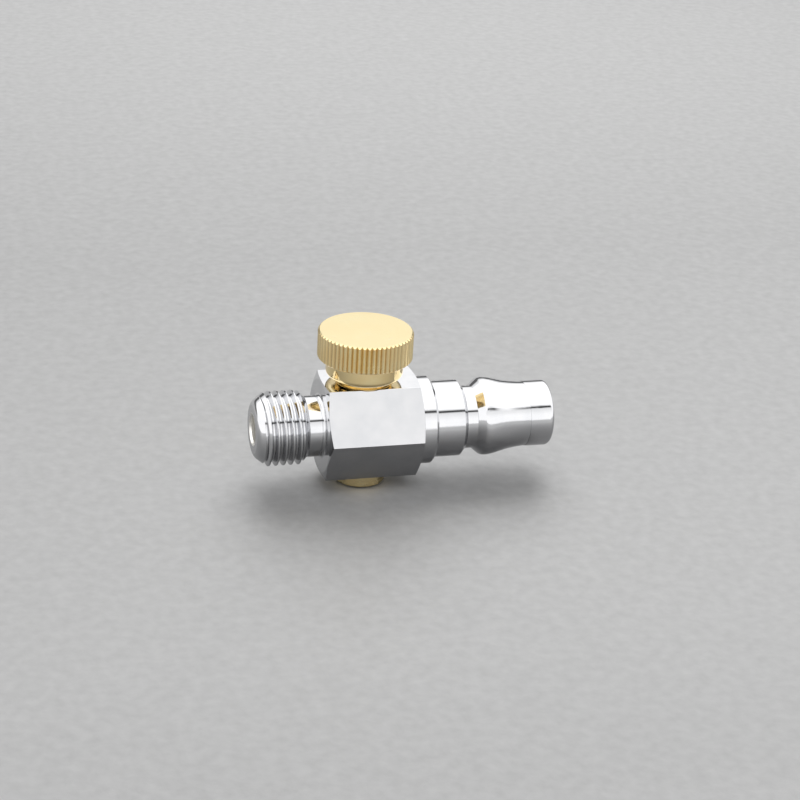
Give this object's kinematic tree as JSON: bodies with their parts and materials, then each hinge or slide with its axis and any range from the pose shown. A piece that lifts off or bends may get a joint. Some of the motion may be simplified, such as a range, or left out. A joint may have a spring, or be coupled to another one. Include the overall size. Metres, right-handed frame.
{
  "type": "needle valve",
  "caption": "Hexagon-bodied needle valve with a knurled brass knob, a male threaded inlet and a quick-coupling plug as outlet.",
  "frame": {"origin": "where the flow axis crosses the spindle axis, at the middle of the spanner hexagon's section", "axes": "+X along the flow axis towards the outlet, +Z along the spindle axis towards the knob, +Y square to both"},
  "size_m": [0.0536, 0.0196, 0.0283],
  "materials": {
    "chrome": "polished chrome plating",
    "brass": "bright turned brass",
    "rubber": "matt nitrile",
    "ptfe": "matt white",
    "fibre": "matt vulcanised fibre"
  },
  "bodies": {
    "valve": {"valve_body": "chrome", "coupling_plug": "chrome", "plug_gasket": "fibre", "seat_cage": "brass", "cage_oring_lower": "rubber", "cage_oring_upper": "rubber", "bonnet": "brass", "bonnet_oring": "rubber"},
    "needle_seal": {"spindle_oring": "rubber", "spindle_backup_ring": "ptfe"},
    "needle": {"spindle": "brass", "knob": "brass"}
  },
  "joints": [
    {"name": "needle_rise", "type": "slide", "parent": "valve", "child": "needle_seal", "axis": [0, 0, 1], "range_m": [-0.0008, 0.0016]},
    {"name": "knob_turn", "type": "hinge", "parent": "needle_seal", "child": "needle", "pos_m": [0, 0, 0], "axis": [0, 0, 1], "range_deg": [-360, 720]}
  ],
  "couplings": [
    {"joint": "needle_rise", "follows": "knob_turn", "m_per_rad": 0.00012732}
  ]
}
